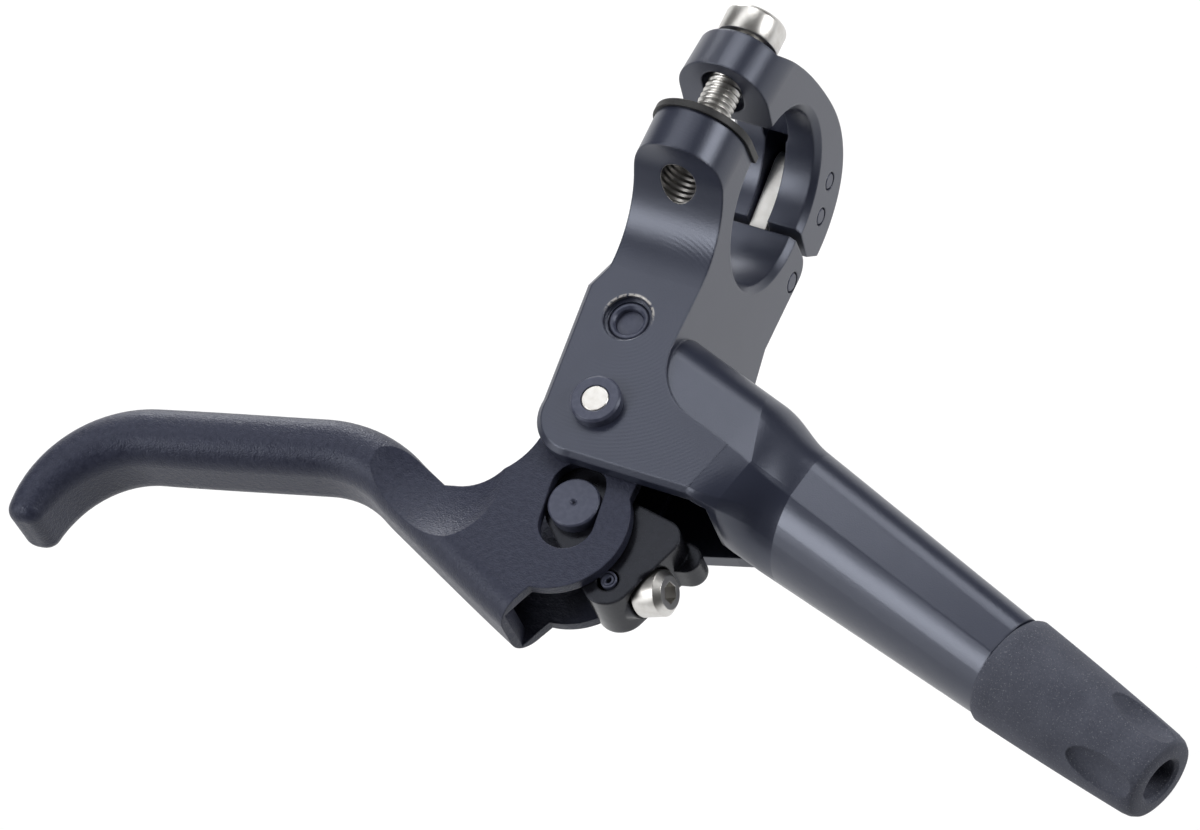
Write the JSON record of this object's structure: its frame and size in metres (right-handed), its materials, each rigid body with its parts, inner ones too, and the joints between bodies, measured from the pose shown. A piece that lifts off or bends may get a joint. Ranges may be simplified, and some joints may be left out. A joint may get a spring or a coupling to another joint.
{
  "type": "hydraulic brake lever",
  "caption": "Black hydraulic brake lever for a flat bar: hooked blade, cam link, tapered master cylinder with rubber hose boot, and a hinged bar clamp.",
  "frame": {"origin": "on the handlebar's axis, at mid-width of the clamp", "axes": "+X along the handlebar towards the hose, +Y from the lever towards the bar, +Z along the lever's axle towards the bolt's side of the clamp"},
  "size_m": [0.1604, 0.0937, 0.0475],
  "materials": {
    "black_alloy": "satin black coat",
    "lever_coat": "fine-grained black coat",
    "black_steel": "blackened",
    "bright_steel": "bright",
    "boot_rubber": "matte, fine-grained",
    "black_plastic": "matte"
  },
  "bodies": {
    "housing": {"lever_body": "black_alloy", "lever_axle": "black_steel", "link_axle": "bright_steel", "axle_collars": "black_steel", "stop_washer": "bright_steel", "piston_spring": "bright_steel", "hose_boot": "boot_rubber", "hose_nut": "bright_steel", "reservoir_diaphragm": "boot_rubber", "reservoir_cover": "black_alloy", "cover_screws": "bright_steel", "bleed_screw": "bright_steel", "bleed_seal": "boot_rubber", "hinge_pin": "black_steel", "clamp_stopper": "black_plastic"},
    "lever": {"lever_blade": "lever_coat", "lever_bushes": "black_plastic"},
    "link": {"cam_link": "black_steel", "link_bush": "black_plastic", "cam_pin": "black_steel", "cam_cap": "black_steel", "spring_pin": "black_steel"},
    "reach": {"reach_screw": "bright_steel"},
    "piston": {"push_rod": "bright_steel", "piston": "black_plastic", "secondary_seal": "boot_rubber", "primary_seal": "boot_rubber"},
    "band": {"clamp_band": "black_alloy", "clamp_strap": "bright_steel", "band_pins": "black_steel"},
    "bolt": {"clamp_bolt": "bright_steel"}
  },
  "joints": [
    {"name": "lever_pull", "type": "hinge", "parent": "housing", "child": "lever", "pos_m": [-0.001, -0.025, 0], "axis": [0, 0, -1], "range_deg": [0, 18], "stiffness_Nm_per_rad": 1.2, "springref_deg": -14.32},
    {"name": "link_swing", "type": "hinge", "parent": "housing", "child": "link", "pos_m": [0.00067, -0.03769, 0], "axis": [0, 0, -1], "range_deg": [0, 36.5]},
    {"name": "piston_push", "type": "slide", "parent": "housing", "child": "piston", "axis": [0.9489, -0.3156, 0], "range_m": [0, 0.0038], "deforming": ["piston_spring"]},
    {"name": "reach_turn", "type": "hinge", "parent": "link", "child": "reach", "pos_m": [0.0138, -0.0574, 0.0002], "axis": [0.9324, 0.2005, 0.3008], "range_deg": [-360, 360]},
    {"name": "clamp_close", "type": "hinge", "parent": "housing", "child": "band", "pos_m": [0, -0.0022, -0.0166], "axis": [1, 0, 0], "range_deg": [0, 9]},
    {"name": "bolt_in", "type": "slide", "parent": "housing", "child": "bolt", "axis": [0, -1, 0], "range_m": [0, 0.0056]}
  ],
  "couplings": [
    {"joint": "link_swing", "follows": "lever_pull", "ratio": 2},
    {"joint": "piston_push", "follows": "lever_pull", "m_per_rad": 0.0118},
    {"joint": "bolt_in", "follows": "clamp_close", "m_per_rad": 0.035}
  ]
}
